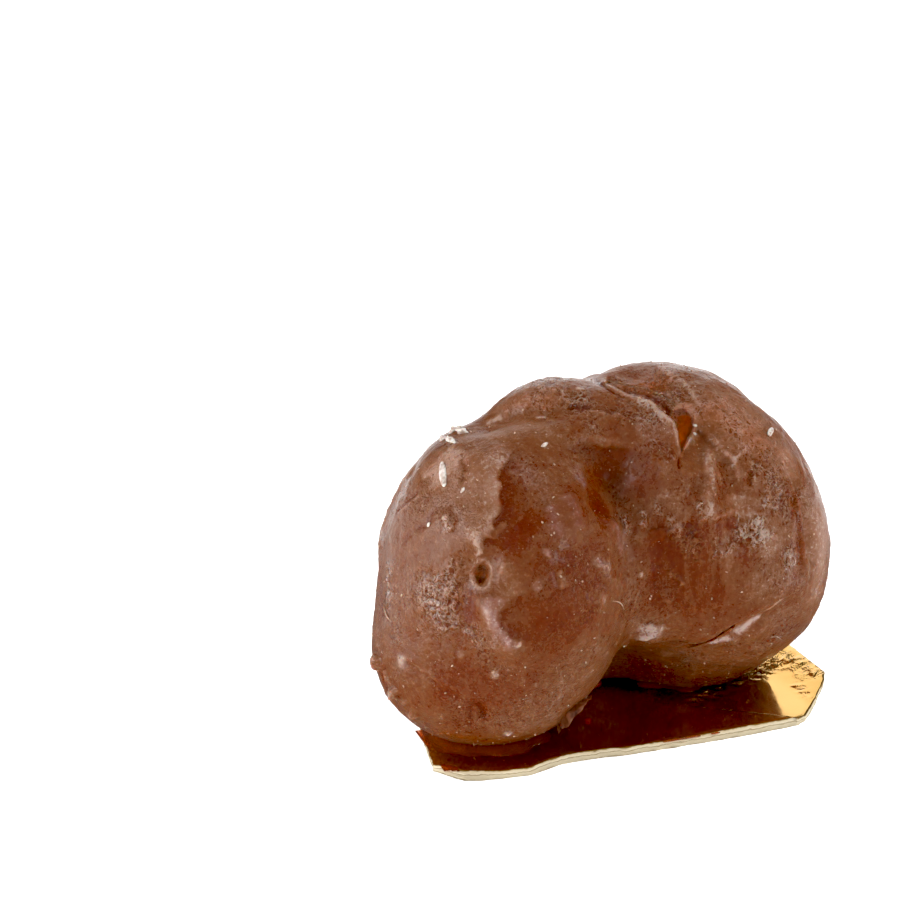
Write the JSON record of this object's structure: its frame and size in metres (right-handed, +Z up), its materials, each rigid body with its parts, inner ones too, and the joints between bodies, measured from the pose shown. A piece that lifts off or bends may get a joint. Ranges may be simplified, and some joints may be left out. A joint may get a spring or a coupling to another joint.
{
  "type": "candied chestnut on a portion card",
  "caption": "Candied chestnut with rounded lobes, a deep cleft underneath and a wrinkled, syrup-glazed skin, resting on a small mirror-gold portion card with cut corners.",
  "frame": {"origin": "middle of the sweet's footprint, on the surface that the card lies on", "axes": "+Z up; +X along the card's long edge, towards the larger rounded end; the cleft opens to -Y"},
  "size_m": [0.041, 0.027, 0.0298],
  "materials": {
    "candied_chestnut": "cooked chestnut flesh soaked in sugar syrup, translucent amber-brown under a glossy, partly frosted glaze",
    "gold_card": "thin cardboard laminated with mirror-gold foil, pale where it is cut"
  },
  "bodies": {
    "root": {"chestnut": "candied_chestnut", "gold_card": "gold_card"}
  },
  "joints": []
}
